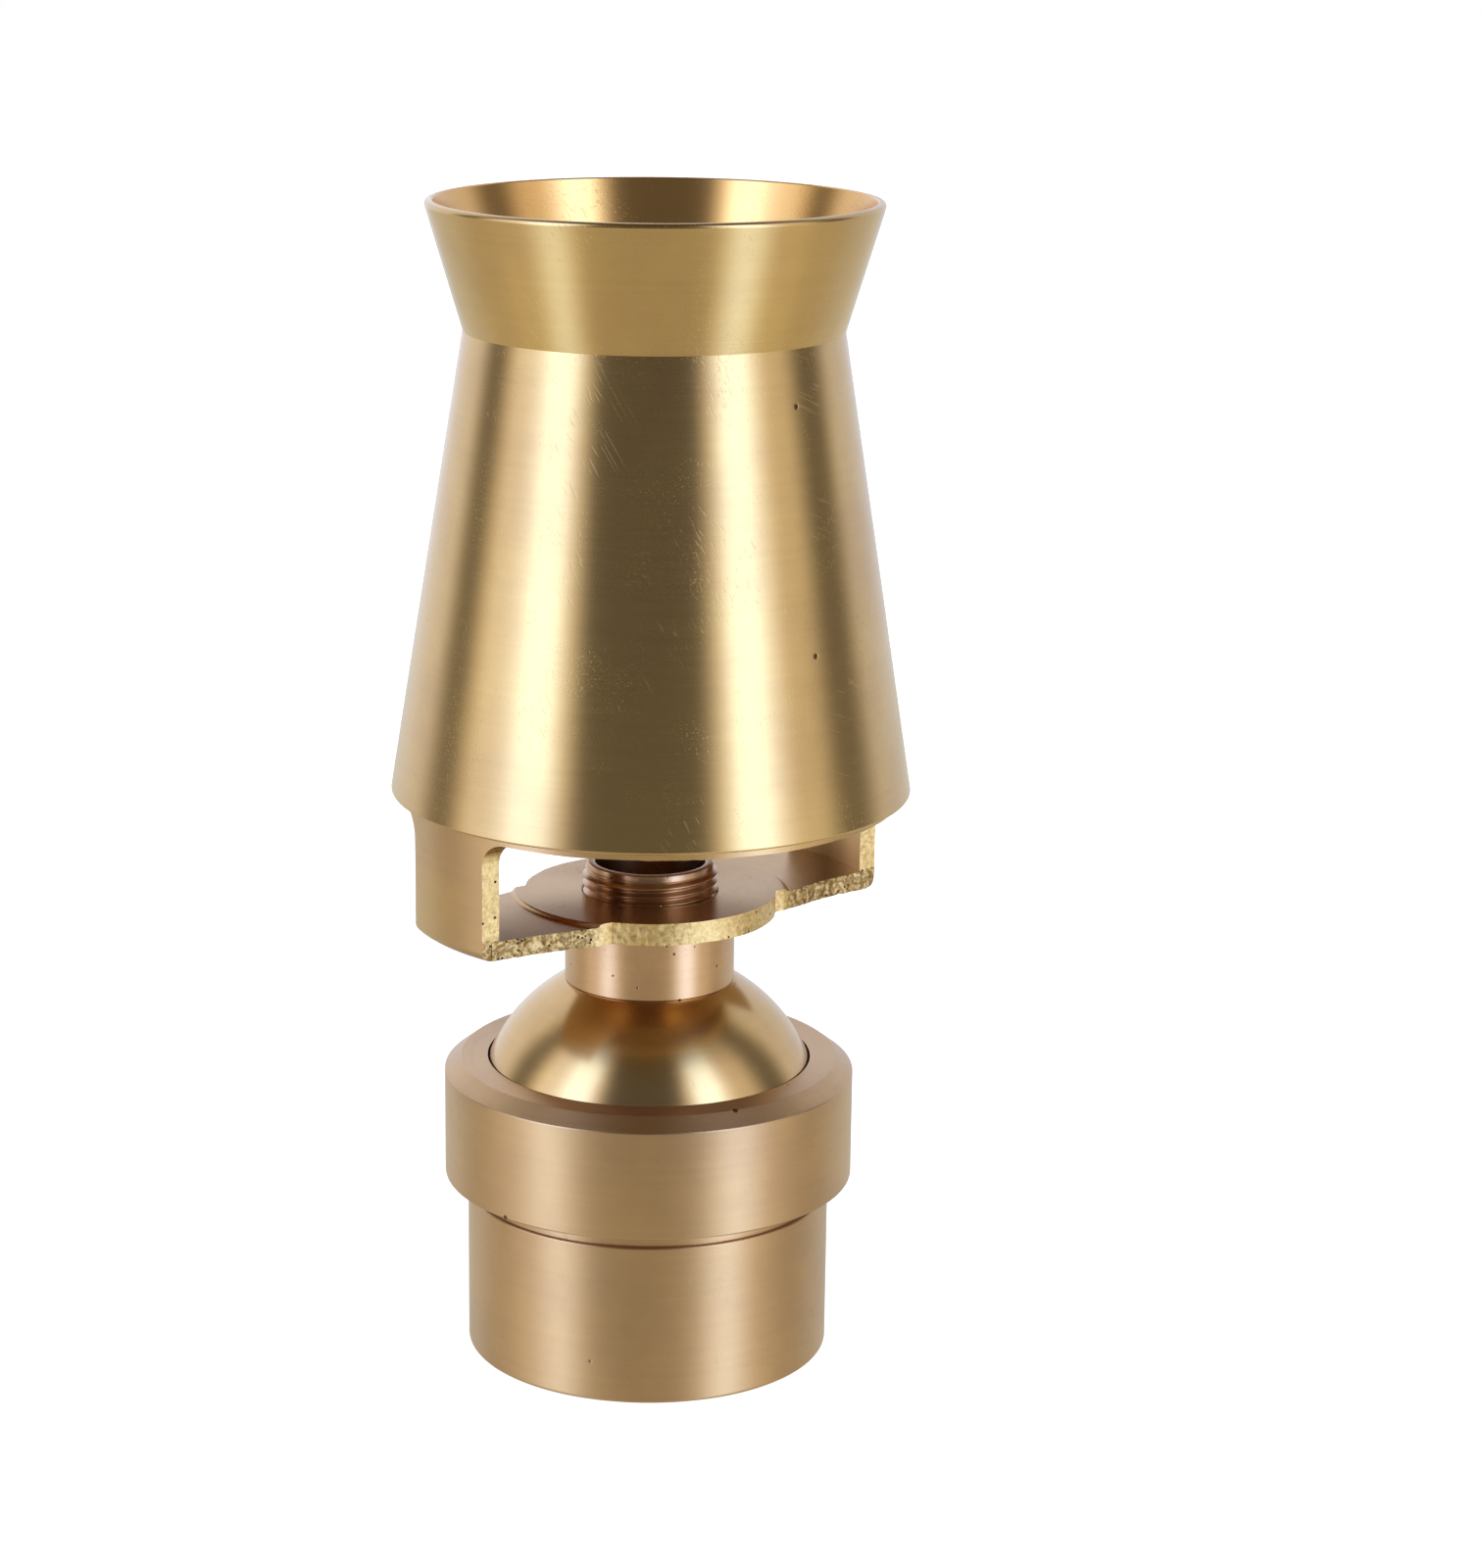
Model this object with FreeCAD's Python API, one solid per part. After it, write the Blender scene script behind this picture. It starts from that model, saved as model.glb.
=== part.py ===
"""Swivelling ice-tower fountain nozzle in brass, for a one-inch pipe.

Millimetres, +Z up.  The origin is the centre of the base's bottom face, and
every turned piece is centred on the Z axis.  The two legs of the yoke stand on
the X axis, so the water-intake windows between them face -Y and +Y.
"""
import FreeCAD, Part
import math
import os

os.makedirs("parts", exist_ok=True)

# ---------------------------------------------------------------- dimensions
# Base body: female G1 pipe thread below, male M46 x 1.5 collar above.
BASE_R = 21.75
BASE_TOP = 19.5                 # shoulder that faces the retaining nut
SOCKET_R = 15.145               # crest radius of the G1 female thread
SOCKET_DEPTH = 11.0
SOCKET_LEAD = 1.2               # lead-in chamfer at the mouth
COLLAR_R = 23.0                 # crest radius of the M46 x 1.5 male thread
COLLAR_PITCH, COLLAR_DEPTH = 1.5, 0.9
COLLAR_TOP = 27.0
RELIEF_R = 21.3                 # thread relief groove over the shoulder
RELIEF_TOP = 20.6
POCKET_R = 20.25                # bore that holds the seat ring and its O-ring
POCKET_FLOOR = 14.6
POCKET_TOP = 21.2

# Swivel ball, cut flat above and below, turning about BALL_Z.
BALL_R = 21.0
BALL_Z = 27.3
BALL_FLOOR = 12.45
BALL_TOP = 45.7
BALL_MOUTH_R = 12.5             # funnel mouth in the bottom face
GAP = 0.03                      # running gap between the ball and its rings

# Retaining nut, screwed down over the ball.
NUT_R = 24.5
NUT_BOTTOM = 21.5
NUT_TOP = 36.0
NUT_CHAMFER = (2.0, 1.5)        # radial, axial
NUT_THREAD_TOP = 29.0
LIP_UNDERSIDE = 33.0
LIP_SPHERE_R = 21.22            # hollow lip that follows the ball

# Rings round the ball.
GLAND_R, GLAND_BOTTOM = 22.9, 30.0
SEAT_R, SEAT_BOTTOM, SEAT_TOP = 20.2, 16.4, 18.6
ORING_D, ORING_MEAN_R = 1.8, 19.3

# Jet tube: spigot in the ball, neck collar, M16 x 1 thread, plain rim.
TUBE_BORE_R = 6.5
SPIGOT_R, SPIGOT_BOTTOM = 8.0, 34.7
NECK_R, NECK_TOP = 10.1, 52.9
THREAD_R, THREAD_BOTTOM, THREAD_TOP = 8.0, 53.5, 59.5
THREAD_PITCH, THREAD_DEPTH = 1.0, 0.58
RIM_R, TUBE_TOP = 7.5, 60.2

# Yoke: two legs, a floor with a hub, and the ring that enters the hood.
YOKE_R, YOKE_WALL = 29.1, 2.2
YOKE_BOTTOM, FLOOR_TOP, HUB_TOP = 54.0, 56.2, 56.6
DISC_R, DISC_BEVEL = 16.4, 0.3  # turned disc round the thread, raised a little
HUB_R = 14.9                    # where the disc is sawn away between the arms
WINDOW_TOP, WINDOW_FILLET = 68.2, 3.0
YOKE_TOP = 74.0
LEG_HALF = 7.2                  # half the width of a leg and of the bar below it
FOOT_ROUND = 1.2                # outer lower edge of the cup
HUB_BORE_R = 8.05
LOCK_BORE_R, LOCK_TOP = 9.5, 55.3

# Hood shell: cone, waist and flared mouth.
HOOD_BOTTOM, HOOD_R = 69.2, 30.6
WAIST_Z, WAIST_R = 123.2, 21.95
MOUTH_Z, MOUTH_R = 138.0, 26.4
CONE_WALL, MOUTH_WALL = 1.6, 1.1
SOCKET_CLEAR = 0.05             # between the yoke's ring and the hood's bore

Z_AXIS = FreeCAD.Vector(0, 0, 1)
ORIGIN = FreeCAD.Vector(0, 0, 0)


def point(r, z):
    return FreeCAD.Vector(r, 0, z)


def turned(profile):
    """Turn a closed outline about Z.

    Each entry is (r, z), or (r, z, centre_z, radius) when the edge that leads
    to it is an arc of a sphere of that radius about centre_z on the axis.  The
    last entry leads to the first.
    """
    edges = []
    for start, end in zip(profile, profile[1:] + profile[:1]):
        a, b = point(*start[:2]), point(*end[:2])
        if len(end) == 4:
            centre_z, radius = end[2:]
            half = 0.5 * (math.atan2(start[1] - centre_z, start[0])
                          + math.atan2(end[1] - centre_z, end[0]))
            middle = point(radius * math.cos(half), centre_z + radius * math.sin(half))
            edges.append(Part.Arc(a, middle, b).toShape())
        else:
            edges.append(Part.makeLine(a, b))
    face = Part.Face(Part.Wire(edges))
    return face.revolve(ORIGIN, Z_AXIS, 360)


def on_sphere(radius, z):
    """Radius at height z of a sphere about the ball's centre."""
    return math.sqrt(radius ** 2 - (z - BALL_Z) ** 2)


def arc_to(radius, z):
    """Profile entry at height z, reached along a sphere about the ball's centre."""
    return (on_sphere(radius, z), z, BALL_Z, radius)


def prism(outline, z0, z1):
    points = [FreeCAD.Vector(x, y, z0) for x, y in outline]
    face = Part.Face(Part.makePolygon(points + points[:1]))
    return face.extrude(FreeCAD.Vector(0, 0, z1 - z0))


def crests(crest_r, depth, pitch, z0, z1):
    """Outline of a thread as plain vee rings, from z0 up to z1."""
    count = int((z1 - z0) / pitch)
    outline = []
    for i in range(count):
        z = z0 + i * pitch
        outline += [(crest_r - depth, z + 0.06 * pitch), (crest_r, z + 0.44 * pitch),
                    (crest_r, z + 0.56 * pitch), (crest_r - depth, z + 0.94 * pitch)]
    return outline


def export(shape, node):
    solid = shape.removeSplitter()
    if solid.ShapeType != "Solid":
        solid = solid.Solids[0]
    solid.exportStep("parts/%s.step" % node)


# ---------------------------------------------------------------- base
def base_body():
    bowl_r = BALL_R + 0.4
    bore_r = BALL_R + 0.15
    return turned([
        (SOCKET_R + SOCKET_LEAD, 0), (BASE_R - 0.5, 0), (BASE_R, 0.5),
        (BASE_R, BASE_TOP - 0.3), (BASE_R - 0.3, BASE_TOP), (RELIEF_R, BASE_TOP),
        (RELIEF_R, RELIEF_TOP),
        *crests(COLLAR_R, COLLAR_DEPTH, COLLAR_PITCH, RELIEF_TOP, COLLAR_TOP),
        (bore_r, COLLAR_TOP), (bore_r, POCKET_TOP + 0.6), (POCKET_R, POCKET_TOP),
        (POCKET_R, POCKET_FLOOR),
        (on_sphere(bowl_r, POCKET_FLOOR), POCKET_FLOOR), arc_to(bowl_r, SOCKET_DEPTH),
        (SOCKET_R, SOCKET_DEPTH), (SOCKET_R, SOCKET_LEAD)])


def seat_o_ring():
    return Part.makeTorus(ORING_MEAN_R, ORING_D / 2,
                          FreeCAD.Vector(0, 0, POCKET_FLOOR + ORING_D / 2), Z_AXIS)


def seat_ring():
    inner = BALL_R + GAP
    return turned([
        arc_to(inner, SEAT_BOTTOM), (SEAT_R, SEAT_BOTTOM), (SEAT_R, SEAT_TOP),
        (on_sphere(inner, SEAT_TOP), SEAT_TOP)])


# ---------------------------------------------------------------- swivel ball
def swivel_ball():
    hole_r = SPIGOT_R + 0.02
    throat_r = TUBE_BORE_R
    return turned([
        (BALL_MOUTH_R, BALL_FLOOR), (on_sphere(BALL_R, BALL_FLOOR), BALL_FLOOR),
        arc_to(BALL_R, BALL_TOP), (hole_r, BALL_TOP), (hole_r, SPIGOT_BOTTOM),
        (throat_r, SPIGOT_BOTTOM), (throat_r, SPIGOT_BOTTOM - 1.0)])


def jet_tube():
    return turned([
        (TUBE_BORE_R, SPIGOT_BOTTOM), (SPIGOT_R - 0.4, SPIGOT_BOTTOM),
        (SPIGOT_R, SPIGOT_BOTTOM + 0.4), (SPIGOT_R, BALL_TOP), (NECK_R, BALL_TOP),
        (NECK_R, NECK_TOP - 0.3), (NECK_R - 0.3, NECK_TOP),
        (RIM_R, NECK_TOP), (RIM_R, THREAD_BOTTOM),
        *crests(THREAD_R, THREAD_DEPTH, THREAD_PITCH, THREAD_BOTTOM, THREAD_TOP),
        (RIM_R, THREAD_TOP + 0.06), (RIM_R, TUBE_TOP - 0.2),
        (RIM_R - 0.2, TUBE_TOP), (TUBE_BORE_R + 0.25, TUBE_TOP),
        (TUBE_BORE_R, TUBE_TOP - 0.4)])


# ---------------------------------------------------------------- nut
def gland_ring():
    inner = BALL_R + GAP
    return turned([
        arc_to(inner, GLAND_BOTTOM), (GLAND_R, GLAND_BOTTOM), (GLAND_R, LIP_UNDERSIDE),
        (on_sphere(inner, LIP_UNDERSIDE), LIP_UNDERSIDE)])


def retaining_nut():
    thread_r = COLLAR_R + 0.05
    pocket_r = GLAND_R + 0.05
    cut_r, cut_z = NUT_CHAMFER
    return turned([
        (thread_r + 0.5, NUT_BOTTOM), (NUT_R - 0.3, NUT_BOTTOM), (NUT_R, NUT_BOTTOM + 0.3),
        (NUT_R, NUT_TOP - cut_z), (NUT_R - cut_r, NUT_TOP),
        (on_sphere(LIP_SPHERE_R, NUT_TOP), NUT_TOP), arc_to(LIP_SPHERE_R, LIP_UNDERSIDE),
        (pocket_r, LIP_UNDERSIDE), (pocket_r, NUT_THREAD_TOP), (thread_r, NUT_THREAD_TOP),
        (thread_r, NUT_BOTTOM + 0.5)])


# ---------------------------------------------------------------- yoke and hood
def legs_block():
    """Block along X that bounds both legs, with the windows' upper fillets."""
    y, z0, z1 = LEG_HALF, YOKE_BOTTOM, WINDOW_TOP
    far = YOKE_R + 1
    f, c = WINDOW_FILLET, math.sqrt(0.5)
    at = lambda y, z: FreeCAD.Vector(-far, y, z)
    edges = [
        Part.makeLine(at(-y, z0), at(y, z0)),
        Part.makeLine(at(y, z0), at(y, z1 - f)),
        Part.Arc(at(y, z1 - f), at(y + f - f * c, z1 - f + f * c), at(y + f, z1)).toShape(),
        Part.makeLine(at(y + f, z1), at(-y - f, z1)),
        Part.Arc(at(-y - f, z1), at(-y - f + f * c, z1 - f + f * c), at(-y, z1 - f)).toShape(),
        Part.makeLine(at(-y, z1 - f), at(-y, z0))]
    return Part.Face(Part.Wire(edges)).extrude(FreeCAD.Vector(2 * far, 0, 0))


def floor_arms(z0, z1):
    """The bar of the floor: two arms that widen a little towards the hub."""
    edge = [(30.0, LEG_HALF), (22.0, 7.6), (17.5, 8.3), (13.0, 9.2)]
    back = edge + [(-x, y) for x, y in reversed(edge)]
    front = [(-x, -y) for x, y in back]
    return prism(back + front, z0, z1)


def yoke():
    inner_r = YOKE_R - YOKE_WALL
    wall = turned([(inner_r, YOKE_BOTTOM), (YOKE_R - FOOT_ROUND, YOKE_BOTTOM),
                   (YOKE_R - 0.3 * FOOT_ROUND, YOKE_BOTTOM + 0.3 * FOOT_ROUND),
                   (YOKE_R, YOKE_BOTTOM + FOOT_ROUND), (YOKE_R, YOKE_TOP - 0.4),
                   (YOKE_R - 0.4, YOKE_TOP), (inner_r, YOKE_TOP)])
    ring_zone = Part.makeCylinder(YOKE_R + 1, YOKE_TOP - WINDOW_TOP, point(0, WINDOW_TOP))
    shell = wall.common(legs_block().fuse(ring_zone))
    disc = Part.makeCylinder(YOKE_R - FOOT_ROUND, FLOOR_TOP - YOKE_BOTTOM, point(0, YOKE_BOTTOM))
    floor = floor_arms(YOKE_BOTTOM, FLOOR_TOP).common(disc)
    raised = floor_arms(YOKE_BOTTOM, HUB_TOP).common(turned([
        (0, YOKE_BOTTOM), (DISC_R, YOKE_BOTTOM), (DISC_R, FLOOR_TOP),
        (DISC_R - DISC_BEVEL, HUB_TOP), (0, HUB_TOP)]))
    hub = Part.makeCylinder(HUB_R, HUB_TOP - YOKE_BOTTOM, point(0, YOKE_BOTTOM))
    body = shell.fuse([floor, raised, hub])
    bore = Part.makeCylinder(HUB_BORE_R, YOKE_TOP, point(0, YOKE_BOTTOM - 1))
    seat = Part.makeCylinder(LOCK_BORE_R, LOCK_TOP - YOKE_BOTTOM + 1, point(0, YOKE_BOTTOM - 1))
    return body.cut(bore.fuse(seat))


def hub_lock_ring():
    outer = Part.makeCylinder(LOCK_BORE_R - 0.05, LOCK_TOP - YOKE_BOTTOM - 0.1,
                              point(0, YOKE_BOTTOM + 0.05))
    return outer.cut(Part.makeCylinder(THREAD_R + 0.05, YOKE_TOP, ORIGIN))


def hood_shell():
    bore_r = YOKE_R + SOCKET_CLEAR
    bore_top = YOKE_TOP + 0.1
    taper = (HOOD_R - WAIST_R) / (WAIST_Z - HOOD_BOTTOM)
    cone_r = HOOD_R - taper * (bore_top - HOOD_BOTTOM) - CONE_WALL
    return turned([
        (bore_r, HOOD_BOTTOM), (HOOD_R - 0.3, HOOD_BOTTOM), (HOOD_R, HOOD_BOTTOM + 0.3),
        (WAIST_R, WAIST_Z), (MOUTH_R, MOUTH_Z - 0.7), (MOUTH_R - 0.15, MOUTH_Z - 0.2),
        (MOUTH_R - 0.4, MOUTH_Z), (MOUTH_R - MOUTH_WALL, MOUTH_Z),
        (WAIST_R - CONE_WALL, WAIST_Z), (cone_r, bore_top), (bore_r, bore_top)])


for make in (base_body, seat_o_ring, seat_ring, swivel_ball, jet_tube, gland_ring,
             retaining_nut, yoke, hub_lock_ring, hood_shell):
    export(make(), make.__name__)
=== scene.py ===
"""Looks of a swivelling ice-tower fountain nozzle in brass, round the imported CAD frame.

Metres, +Z up, in the CAD's own frame.  Each turned brass piece is a fine mesh
with rounded edges and true helical threads; the yoke is a turned cup with
rough sawn windows.  The four hidden rings keep their CAD shape.
"""
import bmesh
import bpy
import math
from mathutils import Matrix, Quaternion, Vector, noise


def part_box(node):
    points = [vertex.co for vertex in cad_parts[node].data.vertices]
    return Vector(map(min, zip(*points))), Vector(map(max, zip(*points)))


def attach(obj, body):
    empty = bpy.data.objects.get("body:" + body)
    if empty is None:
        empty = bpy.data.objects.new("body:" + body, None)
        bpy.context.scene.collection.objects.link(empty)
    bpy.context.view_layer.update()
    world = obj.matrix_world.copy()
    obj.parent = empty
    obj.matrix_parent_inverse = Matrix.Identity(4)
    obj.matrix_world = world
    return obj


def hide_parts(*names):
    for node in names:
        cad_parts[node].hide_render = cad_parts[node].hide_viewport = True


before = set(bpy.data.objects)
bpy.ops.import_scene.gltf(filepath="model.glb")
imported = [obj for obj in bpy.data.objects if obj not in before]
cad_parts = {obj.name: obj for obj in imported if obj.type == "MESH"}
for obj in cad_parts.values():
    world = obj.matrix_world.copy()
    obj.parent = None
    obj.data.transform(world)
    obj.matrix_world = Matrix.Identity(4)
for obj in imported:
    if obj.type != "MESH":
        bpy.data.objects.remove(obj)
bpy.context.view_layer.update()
MM = 0.001


def bottom(node):
    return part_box(node)[0].z


def top(node):
    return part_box(node)[1].z


def reach(node):
    """Largest radius of a turned piece."""
    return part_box(node)[1].x


# ---------------------------------------------------------------- dimensions
EDGE = 0.25 * MM                        # rounding of a turned edge
SOFT_EDGE = 0.5 * MM
CORNER = 0.12 * MM                      # rounding of an inner corner

COLLAR_R, COLLAR_TOP = reach("base_body"), top("base_body")
COLLAR_PITCH = 1.5 * MM                 # M46 x 1.5
COLLAR_ROOT = COLLAR_R - 0.9 * MM
BASE_R = COLLAR_R - 1.25 * MM
BASE_TOP = 19.5 * MM
RELIEF_R = BASE_R - 0.45 * MM
RELIEF_TOP = BASE_TOP + 1.1 * MM
SOCKET_R, SOCKET_DEPTH = 15.145 * MM, 11 * MM
SOCKET_PITCH = 25.4 / 11 * MM           # G1 pipe thread
SOCKET_GROOVE = 1.3 * MM
SOCKET_LEAD = 1.2 * MM
POCKET_R, POCKET_FLOOR, POCKET_TOP = 20.25 * MM, 14.6 * MM, 21.2 * MM

BALL_R, BALL_Z = reach("swivel_ball"), 27.3 * MM
BALL_FLOOR, BALL_TOP = bottom("swivel_ball"), top("swivel_ball")
BALL_MOUTH_R = 12.5 * MM

NUT_R, NUT_BOTTOM, NUT_TOP = reach("retaining_nut"), bottom("retaining_nut"), top("retaining_nut")
NUT_CUT_R, NUT_CUT_Z = 2.0 * MM, 1.5 * MM
NUT_THREAD_TOP = 29 * MM
NUT_BORE_R = COLLAR_R + 0.05 * MM
NUT_GROOVE = 0.5 * MM                   # depth of its thread
LIP_UNDERSIDE = top("gland_ring")
LIP_SPHERE_R = BALL_R + 0.22 * MM

TUBE_BORE_R, TUBE_BOTTOM, TUBE_TOP = 6.5 * MM, bottom("jet_tube"), top("jet_tube")
TUBE_HOLE_R = 8.02 * MM                 # hole in the ball that takes the tube
NECK_R, NECK_TOP = reach("jet_tube"), 52.9 * MM
THREAD_R, THREAD_PITCH = 8.0 * MM, 1.0 * MM     # M16 x 1
THREAD_BOTTOM, THREAD_TOP = 53.5 * MM, 59.5 * MM
THREAD_ROOT = THREAD_R - 0.58 * MM
RIM_R = 7.5 * MM

YOKE_R, YOKE_BOTTOM, YOKE_TOP = 29.1 * MM, bottom("yoke"), top("yoke")
YOKE_INNER_R = YOKE_R - 2.2 * MM
FLOOR_TOP = YOKE_BOTTOM + 2.2 * MM
FOOT_ROUND = 1.2 * MM                   # rounding of the cup's lower rim
FLOOR_R = YOKE_R - FOOT_ROUND
DISC_R, DISC_BEVEL, DISC_ROUND = 16.4 * MM, 0.3 * MM, 0.45 * MM
HUB_R, HUB_TOP = 14.9 * MM, FLOOR_TOP + 0.4 * MM
HUB_BORE_R = THREAD_R + 0.05 * MM
LOCK_BORE_R, LOCK_TOP = 9.5 * MM, YOKE_BOTTOM + 1.3 * MM
WINDOW_TOP, WINDOW_FILLET = 68.2 * MM, 3 * MM
LEG_HALF = 7.2 * MM                     # half the width of a leg
ARM_EDGE = [(30.0 * MM, LEG_HALF), (22.0 * MM, 7.6 * MM), (17.5 * MM, 8.3 * MM),
            (13.0 * MM, 9.2 * MM)]      # from the leg in to the hub

HOOD_R, HOOD_BOTTOM, MOUTH_Z = reach("hood_shell"), bottom("hood_shell"), top("hood_shell")
WAIST_R, WAIST_Z = 21.95 * MM, 123.2 * MM
MOUTH_R = 26.4 * MM
CONE_WALL, MOUTH_WALL = 1.6 * MM, 1.1 * MM
HOOD_BORE_R, HOOD_BORE_TOP = YOKE_R + 0.05 * MM, YOKE_TOP + 0.1 * MM

TURN_STEPS = 256                        # facets round a turned piece
THREAD_ROWS = 16                        # rows of facets in one turn of a thread
ROOT_FLAT, FLANK = 0.14, 0.74           # shares of half a pitch; the rest is the flat crest
WELD = 0.1e-6                           # points closer than this are one point

# how the yoke was sawn
SAW_STEP = 0.32 * MM                    # spacing of the points on a sawn face
WINDOW_ROUGH, FLOOR_ROUGH = 0.075 * MM, 0.14 * MM
SAW_CLEAR = 4 * MM                      # how far a cutting block stands past the cup
HUB_STEPS = 40                          # steps round the hub's sawn edge
FILED_CELLS, WAVE_CELLS = 130, 170      # size of each kind of roughness, as cells per metre
CHIP_CELLS, GRAIN_CELLS = 620, 1500


# ---------------------------------------------------------------- node graphs
PIT_BROWN, HOLE_BROWN = (0.03, 0.018, 0.01, 1), (0.04, 0.022, 0.01, 1)
SAWN_DARK, SAWN_LIGHT, SAWN_FILED = (0.54, 0.36, 0.14, 1), (0.88, 0.64, 0.31, 1), (0.74, 0.51, 0.22, 1)
TORN_DARK, TORN_LIGHT = (0.20, 0.11, 0.04, 1), (0.68, 0.46, 0.20, 1)
TURNED_BUMP, SAWN_BUMP, SEAL_BUMP = 3e-6, 60e-6, 12e-6  # metres
SCRATCH_CELLS = (4200, 4200, 70)        # cells per metre: thin across, long along the tilted Z


class Graph:
    """Writes the nodes of a material or of the world."""

    def __init__(self, owner):
        owner.use_nodes = True
        self.tree = owner.node_tree
        self.tree.nodes.clear()

    def add(self, kind, inputs=None, **settings):
        node = self.tree.nodes.new("ShaderNode" + kind)
        for name, value in settings.items():
            setattr(node, name, value)
        for key, value in (inputs or {}).items():
            if isinstance(value, bpy.types.NodeSocket):
                self.tree.links.new(value, node.inputs[key])
            else:
                node.inputs[key].default_value = value
        return node

    def math(self, operation, a, b=0.0, clamp=False):
        return self.add("Math", {0: a, 1: b}, operation=operation, use_clamp=clamp).outputs[0]

    def scaled(self, vector, scale):
        return self.add("VectorMath", {0: vector, 1: scale}, operation="MULTIPLY").outputs[0]

    def range(self, value, low, high, to_low=0.0, to_high=1.0):
        """value from low..high, smoothly, to to_low..to_high."""
        return self.add("MapRange", {"Value": value, "From Min": low, "From Max": high,
                                     "To Min": to_low, "To Max": to_high},
                        interpolation_type="SMOOTHSTEP").outputs[0]

    def mix(self, factor, a, b, blend="MIX"):
        node = self.add("Mix", {0: factor, 6: a, 7: b}, data_type="RGBA", blend_type=blend)
        return node.outputs[2]

    def noise(self, vector, scale, detail=2.0, w=None, roughness=0.5):
        inputs = {"Vector": vector, "Scale": scale, "Detail": detail, "Roughness": roughness}
        if w is not None:
            inputs["W"] = w
        return self.add("TexNoise", inputs, noise_dimensions="3D" if w is None else "4D").outputs[0]

    def surface(self, shader_inputs):
        shader = self.add("BsdfPrincipled", shader_inputs)
        output = self.add("OutputMaterial")
        self.tree.links.new(shader.outputs[0], output.inputs["Surface"])


def object_place(g):
    """The point's place on the object, its distance from the axis and its direction from it."""
    place = g.add("TexCoord").outputs["Object"]
    level = g.scaled(place, (1, 1, 0))
    radius = g.add("VectorMath", {0: level}, operation="LENGTH").outputs["Value"]
    away = g.add("VectorMath", {0: level}, operation="NORMALIZE").outputs[0]
    return place, radius, away


def turning_marks(g, place, radius, away, per_metre, arc=1.5, detail=2.0):
    """Noise drawn out round the axis, as a lathe tool leaves it."""
    height = g.scaled(place, (0, 0, per_metre))
    along = g.add("VectorMath", {0: away, 1: (arc, arc, arc), 2: height},
                  operation="MULTIPLY_ADD").outputs[0]
    return g.noise(along, 1.0, detail, w=g.math("MULTIPLY", radius, per_metre))


def scratches(g, place, tilt, seed, low=0.69, high=0.75):
    """Fine, short, straight scratches that run along one tilted direction."""
    turned_place = g.add("VectorRotate", {"Vector": place, "Rotation": tilt},
                         rotation_type="EULER_XYZ").outputs[0]
    drawn = g.scaled(turned_place, SCRATCH_CELLS)
    field = g.noise(g.add("VectorMath", {0: drawn, 1: (seed, seed, seed)}).outputs[0], 1.0, 0.0)
    where = g.noise(g.add("VectorMath", {0: place, 1: (seed, 0, 0)}).outputs[0], 110.0, 2.0)
    return g.math("MULTIPLY", g.range(field, low, high), g.range(where, 0.5, 0.66))


def pits(g, place, cell, share, size=0.13):
    """Sparse round pits, one at most in a cell of that size."""
    cells = g.add("TexVoronoi", {"Vector": place, "Scale": 1 / cell, "Randomness": 1.0})
    chosen = g.math("GREATER_THAN", g.add("SeparateColor", {0: cells.outputs["Color"]}).outputs[0],
                    1 - share)
    return g.math("MULTIPLY", chosen, g.range(cells.outputs["Distance"], size * 0.5, size, 1.0, 0.0))


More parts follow.
